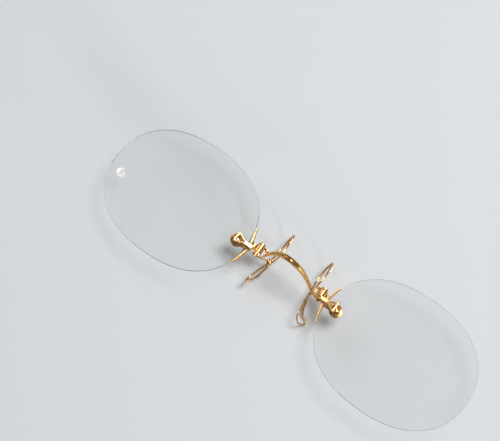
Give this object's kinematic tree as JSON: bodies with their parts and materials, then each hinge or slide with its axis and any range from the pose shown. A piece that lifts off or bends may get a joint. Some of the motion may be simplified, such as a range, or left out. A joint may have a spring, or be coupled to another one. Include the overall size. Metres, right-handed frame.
{
  "type": "pince-nez",
  "caption": "Rimless finger-piece pince-nez: oval drilled lenses, arched bridge, sprung finger levers that carry wire nose guards, a chain hole in one lens.",
  "frame": {"origin": "centre of the bounding box at its base: on the middle plane of the nose, level with the back wires of the nose guards, which the object lies on", "axes": "+X along the line of the lens centres to the right as seen from the front (the wearer's left), +Y towards the brow, +Z to the front, away from the face"},
  "size_m": [0.1042, 0.031, 0.0171],
  "materials": {
    "gold_fittings": "polished gold-filled metal",
    "gold_bridge": "polished gold-filled metal, worn",
    "lens_glass": "clear, polished faces and a finely ground edge"
  },
  "bodies": {
    "frame": {"bridge": "gold_bridge", "lens_left": "lens_glass", "lens_right": "lens_glass", "lens_strap_left": "gold_fittings", "lens_strap_right": "gold_fittings", "edge_shoe_left": "gold_fittings", "edge_shoe_right": "gold_fittings", "lens_screw_left": "gold_fittings", "lens_screw_right": "gold_fittings", "pivot_mount_left": "gold_fittings", "pivot_mount_right": "gold_fittings", "pivot_pin_left": "gold_fittings", "pivot_pin_right": "gold_fittings", "coil_spring_left": "gold_fittings", "coil_spring_right": "gold_fittings", "pivot_screw_left": "gold_fittings", "pivot_screw_right": "gold_fittings"},
    "lever_left": {"finger_lever_left": "gold_fittings", "guard_arm_left": "gold_fittings", "nose_guard_left": "gold_fittings"},
    "lever_right": {"finger_lever_right": "gold_fittings", "guard_arm_right": "gold_fittings", "nose_guard_right": "gold_fittings"}
  },
  "joints": [
    {"name": "lever_left_pivot", "type": "hinge", "parent": "frame", "child": "lever_left", "pos_m": [-0.00935, 0, 0.00733], "axis": [0, 1, 0], "range_deg": [0, 28], "stiffness_Nm_per_rad": 0.015, "springref_deg": -11.46},
    {"name": "lever_right_pivot", "type": "hinge", "parent": "frame", "child": "lever_right", "pos_m": [0.00935, 0, 0.00733], "axis": [0, 1, 0], "range_deg": [-28, 0], "stiffness_Nm_per_rad": 0.015, "springref_deg": 11.46}
  ]
}
